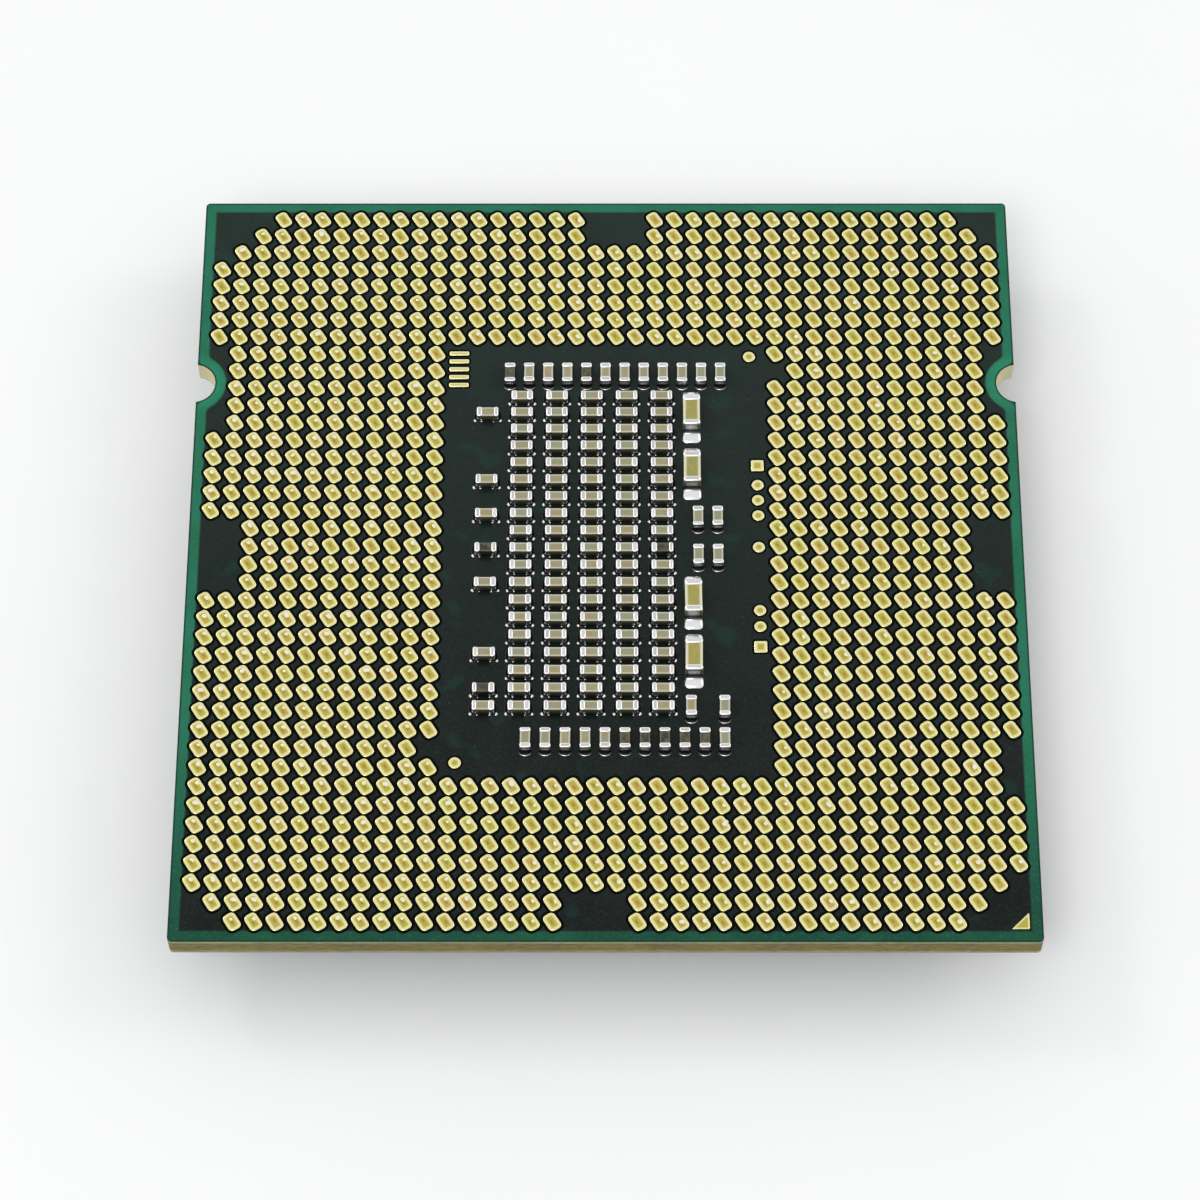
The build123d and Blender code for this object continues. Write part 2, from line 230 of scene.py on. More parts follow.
# ---------------------------------------------------------------- shader building
class Nodes:
    """An empty node tree, with short calls for the nodes used here."""

    def __init__(self, tree, coordinates):
        self.tree = tree
        self.tree.nodes.clear()
        self.place = self.tree.nodes.new("ShaderNodeTexCoord").outputs[coordinates]

    def feed(self, socket, value):
        """Links a socket to another one, or sets its value."""
        if isinstance(value, bpy.types.NodeSocket):
            self.tree.links.new(value, socket)
        elif isinstance(value, tuple) and len(value) == 3 and socket.type == "RGBA":
            socket.default_value = (*value, 1.0)
        else:
            socket.default_value = value

    def attribute(self, name):
        """A vertex value that Shape.build stores, such as tint or rim."""
        node = self.tree.nodes.new("ShaderNodeAttribute")
        node.attribute_name = name
        return node.outputs["Fac"]

    def axes(self):
        """The object's coordinates, one socket for each axis."""
        node = self.tree.nodes.new("ShaderNodeSeparateXYZ")
        self.feed(node.inputs[0], self.place)
        return node.outputs

    def stretch(self, x, y, z):
        """The object's coordinates, scaled by axis."""
        node = self.tree.nodes.new("ShaderNodeMapping")
        self.feed(node.inputs["Vector"], self.place)
        node.inputs["Scale"].default_value = (x, y, z)
        return node.outputs[0]

    def math(self, operation, a, b=0.0, c=0.0):
        """The result of one of Blender's math operations."""
        node = self.tree.nodes.new("ShaderNodeMath")
        node.operation = operation
        for socket, value in zip(node.inputs, (a, b, c)):
            self.feed(socket, value)
        return node.outputs[0]

    def noise(self, size, detail=3.0, roughness=0.55, vector=None):
        """Noise from 0 to 1 whose features are about size metres across."""
        node = self.tree.nodes.new("ShaderNodeTexNoise")
        self.feed(node.inputs["Vector"], vector or self.place)
        node.inputs["Scale"].default_value = 1.0 / size
        node.inputs["Detail"].default_value = detail
        node.inputs["Roughness"].default_value = roughness
        return node.outputs[0]

    def cells(self, size):
        """Distance to the nearest of scattered points, about size metres apart."""
        node = self.tree.nodes.new("ShaderNodeTexVoronoi")
        self.feed(node.inputs["Vector"], self.place)
        node.inputs["Scale"].default_value = 1.0 / size
        return node.outputs[0]

    def span(self, value, low, high, to_low=0.0, to_high=1.0):
        """A value eased from one range to another."""
        node = self.tree.nodes.new("ShaderNodeMapRange")
        node.interpolation_type = "SMOOTHSTEP"
        for socket, item in zip(node.inputs, (value, low, high, to_low, to_high)):
            self.feed(socket, item)
        return node.outputs[0]

    def mix(self, share, a, b):
        """Colour a blended towards colour b."""
        node = self.tree.nodes.new("ShaderNodeMix")
        node.data_type = "RGBA"
        self.feed(node.inputs[0], share)
        self.feed(node.inputs[6], a)
        self.feed(node.inputs[7], b)
        return node.outputs[2]

    def bump(self, height, distance, strength):
        """A normal from a height of 0 to 1 that stands for a distance in metres."""
        node = self.tree.nodes.new("ShaderNodeBump")
        node.inputs["Strength"].default_value = strength
        node.inputs["Distance"].default_value = distance
        self.feed(node.inputs["Height"], height)
        return node.outputs[0]


class Shader(Nodes):
    """A material with one surface shader."""

    def __init__(self, name):
        self.material = bpy.data.materials.new(name)
        self.material.use_nodes = True
        super().__init__(self.material.node_tree, "Object")
        output = self.tree.nodes.new("ShaderNodeOutputMaterial")
        self.surface = self.tree.nodes.new("ShaderNodeBsdfPrincipled")
        self.tree.links.new(self.surface.outputs[0], output.inputs[0])

    def set(self, **values):
        """Sets the surface shader's sockets, by name with underscores for spaces."""
        for name, value in values.items():
            self.feed(self.surface.inputs[name.replace("_", " ")], value)


# ---------------------------------------------------------------- materials
def distance_to_notch(shader):
    """Distance in metres from the wall of the nearer key notch, outwards."""
    axes = shader.axes()
    across = shader.math("ABSOLUTE", axes[0])
    notch_x = shader.math("POWER", shader.math("SUBTRACT", across, NOTCH[0]), 2.0)
    notch_y = shader.math("POWER", shader.math("SUBTRACT", axes[1], NOTCH[1]), 2.0)
    to_centre = shader.math("SQRT", shader.math("ADD", notch_x, notch_y))
    return shader.math("SUBTRACT", to_centre, NOTCH_RADIUS)


def distance_to_edge(shader):
    """Distance in metres from the package outline and its key notches, inwards."""
    axes = shader.axes()
    across = shader.math("ABSOLUTE", axes[0])
    along = shader.math("ABSOLUTE", axes[1])
    to_side = shader.math("SUBTRACT", HALF_SIDE, shader.math("MAXIMUM", across, along))
    return shader.math("SMOOTH_MIN", to_side, distance_to_notch(shader), 0.30 * MM)


def solder_mask_material():
    """Glossy mask: near-black green over copper, bright green where only laminate lies under it, with
    painted shade towards the front and a painted glow round the key notches.
    """
    shader = Shader("solder_mask")
    depth = distance_to_edge(shader)
    ragged = shader.noise(0.12 * MM, 2.0)
    wavering = shader.math("ADD", depth, shader.math("MULTIPLY", ragged, 0.04 * MM))
    over_copper = shader.span(wavering, COPPER_SETBACK - 0.03 * MM, COPPER_SETBACK + 0.09 * MM)
    cloud = shader.noise(2.2 * MM, 3.0)
    grain = shader.noise(0.16 * MM, 3.0, 0.7)
    # Painted shade: the field is darker towards the front and lighter towards the back, and the border
    # rim is darker along the front.
    back = shader.span(shader.axes()[1], -HALF_SIDE, HALF_SIDE)
    front_shade_falloff = shader.span(shader.axes()[1], -HALF_SIDE, -0.4 * HALF_SIDE)
    rim = shader.mix(front_shade_falloff, (0.005, 0.060, 0.034), (0.016, 0.160, 0.088))
    # Painted glow: the border rim turns brighter green near the key notches, as if lit through their
    # walls.
    notch_glow = shader.span(distance_to_notch(shader), 0.0, 0.9 * MM, 0.75, 0.0)
    rim = shader.mix(notch_glow, rim, (0.020, 0.250, 0.130))
    rim = shader.mix(shader.span(cloud, 0.35, 0.7, 0.0, 0.5), rim, (0.010, 0.110, 0.050))
    rim = shader.mix(shader.span(grain, 0.5, 0.8, 0.0, 0.35), rim, (0.035, 0.20, 0.13))
    rim = shader.mix(shader.span(depth, 0.02 * MM, 0.11 * MM), (0.003, 0.028, 0.022), rim)
    field = shader.mix(back, (0.0025, 0.0055, 0.0045), (0.0125, 0.0240, 0.0190))
    field = shader.mix(shader.span(cloud, 0.35, 0.7, 0.0, 0.5), field, (0.0105, 0.0150, 0.0125))
    field = shader.mix(shader.span(grain, 0.45, 0.8, 0.0, 0.5), field, (0.018, 0.033, 0.028))
    thin = shader.span(shader.noise(1.5 * MM, 1.0), 0.62, 0.72, 0.0, 0.3)
    field = shader.mix(thin, field, (0.006, 0.048, 0.036))
    speck = shader.span(shader.cells(0.8 * MM), 0.0, 0.09, 1.0, 0.0)
    field = shader.mix(shader.math("MULTIPLY", speck, 0.35), field, (0.09, 0.12, 0.10))
    shader.set(
        Base_Color=shader.mix(over_copper, rim, field),
        Roughness=shader.span(grain, 0.2, 0.8, 0.18, 0.32),
        Specular_IOR_Level=0.17,
    )
    peel = shader.noise(0.45 * MM, 2.0)
    shader.set(Normal=shader.bump(peel, 0.008 * MM, 0.8))
    return shader.material


def gold_material():
    """Satin gold: a pale painted highlight on the raised rim, deep in the pan, and painted shade at its
    floor. A rim value past 1 is a burr, painted near white as a highlight."""
    shader = Shader("gold_plating")
    rim = shader.attribute("rim")
    tint = shader.attribute("tint")
    grain = shader.noise(0.09 * MM, 3.0, 0.65)
    pan = shader.mix(shader.span(tint, 0.10, 0.70), (0.60, 0.51, 0.100), (0.62, 0.49, 0.105))
    pan = shader.mix(shader.span(tint, 0.80, 1.0, 0.0, 0.5), pan, (0.68, 0.50, 0.15))
    # Painted shade: the pan's floor, at its lowest rim values, is darker gold.
    mark = shader.mix(tint, (0.40, 0.29, 0.030), (0.44, 0.28, 0.035))
    pan = shader.mix(shader.span(rim, 0.0, 0.25), mark, pan)
    pan = shader.mix(shader.span(grain, 0.50, 0.8, 0.0, 0.3), pan, (0.45, 0.36, 0.07))
    # Painted highlight: the raised rim is pale gold.
    edge = shader.mix(tint, (0.95, 0.90, 0.40), (0.97, 0.90, 0.47))
    colour = shader.mix(shader.span(rim, 0.30, 1.0), pan, edge)
    # Painted highlight: where the rim value passes 1, on a burr, the gold turns near white.
    shader.set(
        Base_Color=shader.mix(shader.span(rim, 1.0, 2.0), colour, (1.0, 0.98, 0.92)),
        Metallic=1.0,
        Roughness=shader.span(grain, 0.2, 0.8, 0.20, 0.30),
    )
    shader.set(Normal=shader.bump(grain, 0.002 * MM, 0.5))
    return shader.material


def moat_material():
    """The ring of clearance between a land and the copper round it, painted near black as shade."""
    shader = Shader("land_clearance_shade")
    grain = shader.noise(0.1 * MM, 2.0)
    # Painted shade: the clearance is near black.
    shader.set(
        Base_Color=shader.mix(grain, (0.0006, 0.0009, 0.0008), (0.0020, 0.0030, 0.0025)),
        Roughness=shader.span(grain, 0.2, 0.8, 0.5, 0.7),
        Specular_IOR_Level=0.04,
    )
    return shader.material


def ceramic_material(name, first, second, third, edge_highlight, side=0.12):
    """Fired ceramic: two body colours between chips, a third in patches, a pale painted highlight on
    the eased edges. A rim value below 0 is a side, darkened with painted shade to a share of the top's
    colour."""
    shader = Shader(name)
    tint = shader.attribute("tint")
    rim = shader.attribute("rim")
    grain = shader.noise(0.05 * MM, 3.0, 0.7)
    patch = shader.noise(0.30 * MM, 2.0)
    colour = shader.mix(tint, first, second)
    colour = shader.mix(shader.span(patch, 0.42, 0.66, 0.0, 0.7), colour, third)
    colour = shader.mix(shader.span(grain, 0.55, 0.8, 0.0, 0.3), colour, second)
    # Painted shade: the sides darken towards black.
    colour = shader.mix(shader.span(rim, -1.0, 0.0, side, 1.0), (0.0, 0.0, 0.0), colour)
    # Painted highlight: the eased top edges turn pale.
    shader.set(
        Base_Color=shader.mix(shader.span(rim, 0.1, 1.0), colour, edge_highlight),
        Roughness=shader.span(grain, 0.2, 0.8, 0.30, 0.48),
    )
    shader.set(Normal=shader.bump(grain, 0.005 * MM, 0.6))
    return shader.material


def tin_material():
    """Matte tin plating with a painted highlight along its edges, a little duller here and there."""
    shader = Shader("tin_plating")
    grain = shader.noise(0.06 * MM, 3.0, 0.65)
    tint = shader.attribute("tint")
    colour = shader.mix(tint, (0.62, 0.62, 0.60), (0.80, 0.80, 0.79))
    # Painted highlight: the edges turn near white.
    colour = shader.mix(shader.span(shader.attribute("rim"), 0.0, 1.0), colour, (0.97, 0.97, 0.96))
    shader.set(
        Base_Color=shader.mix(shader.span(grain, 0.5, 0.85, 0.0, 0.35), colour, (0.70, 0.69, 0.66)),
        Metallic=1.0,
        Roughness=shader.span(grain, 0.2, 0.8, 0.28, 0.42),
    )
    shader.set(Normal=shader.bump(grain, 0.006 * MM, 0.5))
    return shader.material


def solder_material():
    """Reflowed solder: painted near black in its hollow as shade, with a painted highlight along its
    outer bead.
    """
    shader = Shader("solder")
    rim = shader.attribute("rim")
    grain = shader.noise(0.08 * MM, 2.0)
    # Painted shade: the hollow is near black. The bright bead carries the painted highlight, and the rim
    # value blends them.
    hollow = shader.mix(grain, (0.010, 0.010, 0.009), (0.050, 0.050, 0.047))
    bead = shader.mix(grain, (0.88, 0.88, 0.87), (0.97, 0.97, 0.97))
    shader.set(
        Base_Color=shader.mix(rim, hollow, bead),
        Metallic=1.0,
        Roughness=shader.span(rim, 0.0, 0.6, 0.45, 0.18),
    )
    shader.set(Normal=shader.bump(grain, 0.005 * MM, 0.5))
    return shader.material


def laminate_material(name, resin, glass, dark):
    """The cut edge of glass and epoxy: layers of weave, seen end on, with darker resin between."""
    shader = Shader(name)
    layers = shader.noise(1.0, 2.0, 0.6, shader.stretch(260.0, 260.0, 9000.0))
    yarns = shader.noise(1.0, 3.0, 0.6, shader.stretch(2600.0, 2600.0, 14000.0))
    patch = shader.noise(1.6 * MM, 3.0)
    colour = shader.mix(shader.span(layers, 0.35, 0.65), resin, glass)
    colour = shader.mix(shader.span(yarns, 0.42, 0.62, 0.0, 0.55), colour, dark)
    colour = shader.mix(shader.span(patch, 0.45, 0.75, 0.0, 0.5), colour, glass)
    # Painted light: the notch walls are paler.
    notch_wall_light = shader.span(distance_to_notch(shader), 0.0, 0.04 * MM, 0.75, 0.0)
    colour = shader.mix(notch_wall_light, colour, (0.80, 0.74, 0.46))
    shader.set(Base_Color=colour, Roughness=shader.span(yarns, 0.2, 0.8, 0.55, 0.8))
    shader.set(Normal=shader.bump(yarns, 0.02 * MM, 0.7))
    return shader.material


def nickel_material():
    """Satin nickel plate with a fine grain and faint streaks from the rolled sheet."""
    shader = Shader("nickel_plating")
    grain = shader.noise(0.30 * MM, 4.0, 0.7)
    streak = shader.noise(1.0, 2.0, 0.6, shader.stretch(90.0, 1800.0, 90.0))
    cloud = shader.noise(6.0 * MM, 3.0)
    colour = shader.mix(cloud, (0.58, 0.57, 0.54), (0.67, 0.66, 0.63))
    colour = shader.mix(shader.span(streak, 0.45, 0.75, 0.0, 0.25), colour, (0.52, 0.51, 0.48))
    dulling = shader.math("ADD", grain, shader.math("MULTIPLY", cloud, 0.5))
    shader.set(
        Base_Color=shader.mix(shader.span(grain, 0.55, 0.8, 0.0, 0.2), colour, (0.48, 0.47, 0.44)),
        Metallic=1.0,
        Roughness=shader.span(dulling, 0.4, 1.1, 0.30, 0.42),
    )
    shader.set(Normal=shader.bump(grain, 0.006 * MM, 0.35))
    return shader.material


def plain_material(name, light, dark, roughness, metallic=0.0, size=0.5 * MM):
    """A two-tone grained surface for the sealed inner pieces and the black silicone."""
    shader = Shader(name)
    grain = shader.noise(size, 3.0, 0.6)
    shader.set(
        Base_Color=shader.mix(grain, dark, light),
        Metallic=metallic,
        Roughness=shader.span(grain, 0.2, 0.8, roughness - 0.06, roughness + 0.06),
    )
    shader.set(Normal=shader.bump(grain, 0.01 * MM, 0.5))
    return shader.material


mask_finish = solder_mask_material()
gold_finish = gold_material()
moat_finish = moat_material()
ceramic_finish = ceramic_material(
    "ceramic", (0.33, 0.305, 0.17), (0.25, 0.270, 0.175), (0.34, 0.24, 0.10), (0.54, 0.53, 0.44)
)
large_ceramic_finish = ceramic_material(
    "large_ceramic", (0.33, 0.29, 0.062), (0.29, 0.27, 0.070), (0.38, 0.32, 0.09), (0.70, 0.69, 0.52), 0.5
)
dark_ceramic_finish = ceramic_material(
    "dark_ceramic", (0.022, 0.020, 0.012), (0.055, 0.050, 0.026), (0.14, 0.12, 0.05), (0.10, 0.09, 0.07)
)
tin_finish = tin_material()
solder_finish = solder_material()
core_finish = laminate_material(
    "laminate", (0.165, 0.130, 0.028), (0.260, 0.215, 0.060), (0.090, 0.064, 0.016)
)
build_up_finish = laminate_material(
    "build_up", (0.255, 0.290, 0.125), (0.360, 0.400, 0.210), (0.185, 0.190, 0.075)
)
nickel_finish = nickel_material()
copper_finish = plain_material("copper", (0.72, 0.36, 0.22), (0.60, 0.27, 0.15), 0.35, 1.0)
silicon_finish = plain_material("silicon", (0.12, 0.12, 0.14), (0.08, 0.08, 0.10), 0.15, 0.3, 4.0 * MM)
underfill_finish = plain_material("underfill", (0.020, 0.024, 0.045), (0.008, 0.010, 0.020), 0.4)
indium_finish = plain_material("indium", (0.62, 0.62, 0.62), (0.50, 0.50, 0.49), 0.45, 1.0)
sealant_finish = plain_material("sealant", (0.012, 0.012, 0.012), (0.006, 0.006, 0.006), 0.42)


# ---------------------------------------------------------------- contact lands
# Rings of the clearance round a land, in millimetres: offset from the land's outline, height.
MOAT_RINGS = [(0.120, 0.0006), (0.0, 0.0040)]
# Rings of a land from the outside in: offset from its outline, height, rim value.
LAND_RINGS = [
    (0.000, 0.001, 0.6),
    (-0.006, 0.014, 0.95),
    (-0.024, 0.0262, 1.12),
    (-0.050, 0.0300, 1.12),
    (-0.084, 0.0290, 1.0),
    (-0.114, 0.0262, 0.85),
    (-0.142, 0.0232, 0.62),
    (-0.176, 0.0208, 0.40),
]
# Rings of the pan inside them: half width, half length, height, rim value.
PAN_RINGS = [(0.078, 0.165, 0.0188, 0.25), (0.040, 0.075, 0.0160, 0.08)]
PAN_FLOOR = 0.0148
LAND_LEAN = math.radians(0.9)
# How far the pan's centre strays from the land's, in millimetres.
PAN_STRAY_X = (-0.03, 0.03)
PAN_STRAY_Y = (-0.05, 0.07)
# A pan's corner as a share of its half width.
PAN_ROUNDNESS = 0.95

# A test socket's contacts leave a small burr on many lands, on fewer towards the right; its near-white
# colour is a painted highlight.
# Rings of a burr: radius, height, rim value.
BURR_RINGS = [(0.098, 0.0200, 0.8), (0.078, 0.0262, 1.4), (0.046, 0.0296, 2.0)]
BURR_TOP = 0.0305
BURR_SHARE_AT_LEFT = 0.95
BURR_SHARE_AT_RIGHT = 0.10
# Up to this share of the way to the right burrs stand behind a land's centre, and then beside it.
BURR_TURNING_POINT = 0.4
BURR_SPOT_AT_LEFT = (0.01, 0.16)
BURR_SPOT_AT_RIGHT = (0.13, 0.05)
BURR_STRAY_X = (-0.05, 0.05)
BURR_STRAY_Y = (-0.05, 0.03)
BURR_SIZES = (0.65, 1.15)
BURR_STRETCHES = (1.0, 1.7)


def land_ring(offset, height):
    """One ring of a land about its own centre, in metres."""
    offset = offset * MM
    half_width = LAND_HALF_WIDTH + offset
    half_length = LAND_HALF_LENGTH + offset
    return level_ring(rounded_outline(half_width, half_length, LAND_CORNER + offset), height * MM)


def pan_ring(half_width, half_length, height, shift):
    """One ring of the pan, with as many points as a land's outline."""
    outline = rounded_outline(half_width * MM, half_length * MM, half_width * PAN_ROUNDNESS * MM)
    return level_ring(outline, height * MM, shift)


def burr_place(centre, chance):
    """Where a burr stands on a land, from the land's centre, or None where there is none."""
    rightwards = 0.5 + 0.5 * centre.x / HALF_SIDE
    if chance.random() > lerp(BURR_SHARE_AT_LEFT, BURR_SHARE_AT_RIGHT, rightwards):
        return None
    spot = BURR_SPOT_AT_LEFT if rightwards < BURR_TURNING_POINT else BURR_SPOT_AT_RIGHT
    stray = Vector((chance.uniform(*BURR_STRAY_X), chance.uniform(*BURR_STRAY_Y)))
    return (Vector(spot) + stray) * MM


def add_burr(shape, x, y, tint, chance):
    """One burr of a random turn, size and stretch."""
    turn = Matrix.Rotation(chance.uniform(0.0, math.pi), 4, "Z")
    foot = Matrix.Translation((x, y, MASK_TOP)) @ turn
    size = chance.uniform(*BURR_SIZES) * MM
    stretch = chance.uniform(*BURR_STRETCHES)
    rings = []
    for radius, height, _ in BURR_RINGS:
        outline = rounded_outline(radius * size * stretch, radius * size, radius * size, 2)
        rings.append(level_ring(outline, height * MM))
    top = foot @ Vector((0, 0, BURR_TOP * MM))
    shape.loft(moved(foot, rings), slot=0, tint=tint, rims=rims_of(BURR_RINGS), centre=top)


def make_lands(node, name, chance):
    """The lands of one bank, each leaning a little its own way, its pan a little off centre."""
    shape = Shape()
    moat = [land_ring(offset, height) for offset, height in MOAT_RINGS]
    plate = [land_ring(offset, height) for offset, height, _ in LAND_RINGS]
    rims = rims_of(LAND_RINGS + PAN_RINGS)
    for box in solids(node):
        centre = middle(box)
        tilt = Matrix.Rotation(LAND_TILT, 4, "Z")
        place = Matrix.Translation((centre.x, centre.y, MASK_TOP)) @ tilt
        lean_x = Matrix.Rotation(chance.gauss(0.0, LAND_LEAN), 4, "X")
        lean_y = Matrix.Rotation(chance.gauss(0.0, LAND_LEAN), 4, "Y")
        tint = chance.random()
        shape.loft(moved(place, moat), slot=1, tint=tint, end_cap=False)
        leaned = place @ lean_x @ lean_y
        shift = Vector((chance.uniform(*PAN_STRAY_X), chance.uniform(*PAN_STRAY_Y))) * MM
        rings = plate + [pan_ring(*ring[:3], shift) for ring in PAN_RINGS]
        floor_point = leaned @ Vector((shift.x, shift.y, PAN_FLOOR * MM))
        shape.loft(moved(leaned, rings), slot=0, tint=tint, rims=rims, centre=floor_point)
        spot = burr_place(centre, chance)
        if spot:
            add_burr(shape, centre.x + spot.x, centre.y + spot.y, tint, chance)
    piece = shape.build(name, [gold_finish, moat_finish], sharp=70.0)
    stand_for(piece, "gold", node)


# ---------------------------------------------------------------- gold pads and marks
# Rings of the clearance round a pad, in millimetres: offset from the pad's outline, height.
PAD_MOAT_RINGS = [(0.09, 0.0006), (0.0, 0.0030)]
# Rings of a pad from the outside in: inset from its outline, share of its height, rim value.
PAD_RINGS = [
    (0.000, 0.00, 0.5),
    (0.006, 0.60, 1.1),
    (0.028, 0.95, 1.25),
    (0.066, 1.00, 1.15),
    (0.108, 0.94, 0.9),
    (0.150, 0.88, 0.5),
    (0.195, 0.84, 0.22),
]
# On a small pad the insets stop at this share of its half width, and its corners keep this share.
PAD_INSET_LIMIT = 0.85
PAD_LEAST_CORNER = 0.1
# The triangle's corners: length cut off each side, and how far the middle point is drawn in.
TRIANGLE_CUT = 0.04 * MM
TRIANGLE_CUT_MIDDLE = 0.28
# The triangle's raised edge is this much narrower than a pad's.
TRIANGLE_EDGE = 0.5


def make_pads(node, name, chance, roundness):
    """Flat gold pads with a soft raised edge and its painted highlight, each in a clearance painted dark
    as shade. Roundness 1 makes a disc.
    """
    shape = Shape()
    for low, high in solids(node):
        centre = middle((low, high))
        half_x = (high.x - low.x) / 2
        half_y = (high.y - low.y) / 2
        smaller_half = min(half_x, half_y)
        radius = smaller_half * roundness
        rings = []
        for inset, share, _ in PAD_RINGS:
            inset = min(inset * MM, PAD_INSET_LIMIT * smaller_half)
            corner = max(radius - inset, PAD_LEAST_CORNER * (smaller_half - inset))
            outline = rounded_outline(half_x - inset, half_y - inset, corner)
            rings.append(level_ring(outline, low.z + share * (high.z - low.z), centre))
        shape.loft(rings, tint=chance.random(), rims=rims_of(PAD_RINGS))
        moat = []
        for offset, height in PAD_MOAT_RINGS:
            offset = offset * MM
            outline = rounded_outline(half_x + offset, half_y + offset, radius + offset)
            moat.append(level_ring(outline, MASK_TOP + height * MM, centre))
        shape.loft(moat, slot=1, end_cap=False)
    piece = shape.build(name, [gold_finish, moat_finish], sharp=60.0)
    stand_for(piece, "gold", node)


def softened_triangle(low, high, cut):
    """A right triangle in a box, right angle at +X -Y, its corners cut into three points each."""
    corners = [Vector((high.x, low.y)), Vector((high.x, high.y)), Vector((low.x, low.y))]
    points = []
    for i, corner in enumerate(corners):
        before = (corners[i - 1] - corner).normalized() * cut
        after = (corners[(i + 1) % 3] - corner).normalized() * cut
        drawn_in = corner + (before + after) * TRIANGLE_CUT_MIDDLE
        points += [corner + before, drawn_in, corner + after]
    return points


def make_triangle(node, name, chance, facing):
    """The pin-one triangle, its face up where facing is 1 and down where it is -1."""
    shape = Shape()
    low, high = solids(node)[0]
    outline = softened_triangle(low, high, TRIANGLE_CUT)
    leg = high.x - low.x
    inradius = leg * (1 - math.sqrt(0.5))
    incentre = Vector((high.x - inradius, low.y + inradius))
    base = low.z if facing > 0 else high.z
    rings = []
    for inset, share, _ in PAD_RINGS:
        scale = 1 - TRIANGLE_EDGE * inset * MM / inradius
        height = base + facing * share * (high.z - low.z)
        shrunk = [incentre + (point - incentre) * scale for point in outline]
        rings.append(level_ring(shrunk, height))
    if facing < 0:
        rings = [list(reversed(ring)) for ring in rings]
    shape.loft(rings, tint=chance.random(), rims=rims_of(PAD_RINGS))
    piece = shape.build(name, [gold_finish], sharp=60.0)
    stand_for(piece, "gold", node)


# ---------------------------------------------------------------- chip capacitors
# Rim values of a block's rings, from its foot up: a side is below 0, the eased top edge is 1 and
# the flat top is 0. The sides get painted shade and the eased edge a painted highlight.
BLOCK_RIMS = [-1.0, -1.0, -1.0, -0.6, 0.3, 1.0, 1.0, 0.0]
# The bright edge's width on top: so many eases, but no more than a share of the half width.
EDGE_EASES = 3.5
EDGE_LIMIT = 0.6
# A ring's corner is never smaller than this share of the block's.
LEAST_CORNER = 0.2

# Corner radius and edge easing, as shares of the half width.
BODY_CORNER = 0.10
BODY_EASE = 0.14
CAP_CORNER = 0.36
CAP_EASE = 0.24

# How far a chip's body may sit from its place.
BODY_SHIFT = 0.006 * MM
BODY_TURN = math.radians(0.8)


def block_rings(half_x, half_y, bottom, top, corner, ease):
    """Rings of an upright block with rounded corners and eased top and bottom edges."""
    inset = min(EDGE_EASES * ease, EDGE_LIMIT * min(half_x, half_y))
    profile = [
        (-ease, bottom),
        (-0.3 * ease, bottom + 0.3 * ease),
        (0.0, bottom + ease),
        (0.0, top - ease),
        (-0.12 * ease, top - 0.55 * ease),
        (-0.45 * ease, top - 0.15 * ease),
        (-ease, top),
        (-inset, top),
    ]
    rings = []
    for offset, height in profile:
        radius = max(corner + offset, LEAST_CORNER * corner)
        outline = rounded_outline(half_x + offset, half_y + offset, radius, 3)
        rings.append(level_ring(outline, height))
    return rings


def chip_frame(box):
    """A matrix at the foot of a chip, with its X axis along the chip, and the chip's half sizes."""
    size = box[1] - box[0]
    centre = middle(box)
    turn = math.pi / 2 if size.y > size.x else 0.0
    place = Matrix.Translation((centre.x, centre.y, 0.0)) @ Matrix.Rotation(turn, 4, "Z")
    return place, max(size.x, size.y) / 2, min(size.x, size.y) / 2


def jitter(chance, place, shift, turn):
    """A place moved and turned a little, as a placed chip is."""
    offset = Matrix.Translation((chance.uniform(-shift, shift), chance.uniform(-shift, shift), 0.0))
    return place @ offset @ Matrix.Rotation(chance.uniform(-turn, turn), 4, "Z")


def make_bodies(node, name, slot, finish, chance):
    """The ceramic blocks of one group of chips."""
    shape = Shape()
    for box in solids(node):
        place, half_length, half_width = chip_frame(box)
        corner, ease = BODY_CORNER * half_width, BODY_EASE * half_width
        rings = block_rings(half_length, half_width, box[0].z, box[1].z, corner, ease)
        rings = moved(jitter(chance, place, BODY_SHIFT, BODY_TURN), rings)
        shape.loft(rings, tint=chance.random(), rims=BLOCK_RIMS, start_cap=True)
    piece = shape.build(name, [finish])
    stand_for(piece, slot, node)


def pads_by_terminal(terminals, pads):
    """Each terminal's box with the box of the pad that it stands on."""
    pairs = []
    for terminal in terminals:
        centre = middle(terminal)
        pad = min(pads, key=lambda box: (middle(box).xy - centre.xy).length)
        pairs.append((terminal, pad))
    return pairs


def outward(terminal, pad):
    """The unit direction from a terminal to the free end of its pad."""
    step = middle(pad).xy - middle(terminal).xy
    if abs(step.x) > abs(step.y):
        return Vector((math.copysign(1.0, step.x), 0.0))
    return Vector((0.0, math.copysign(1.0, step.y)))


# The solder's section from the chip's end to the rim of its pad: share of the way, share of
# the climb, height added in millimetres, share of painted highlight against the hollow's painted
# shade. It ends in a low round bead.
SOLDER_SECTION = [
    (0.00, 1.00, 0.000, 0.0),
    (0.12, 0.70, 0.000, 0.0),
    (0.28, 0.40, 0.000, 0.0),
    (0.46, 0.17, 0.002, 0.0),
    (0.60, 0.06, 0.006, 0.0),
    (0.68, 0.02, 0.026, 0.8),
    (0.78, 0.00, 0.040, 1.0),
    (0.88, 0.00, 0.040, 1.0),
    (0.96, 0.00, 0.022, 1.0),
    (1.00, 0.00, 0.000, 0.8),
]
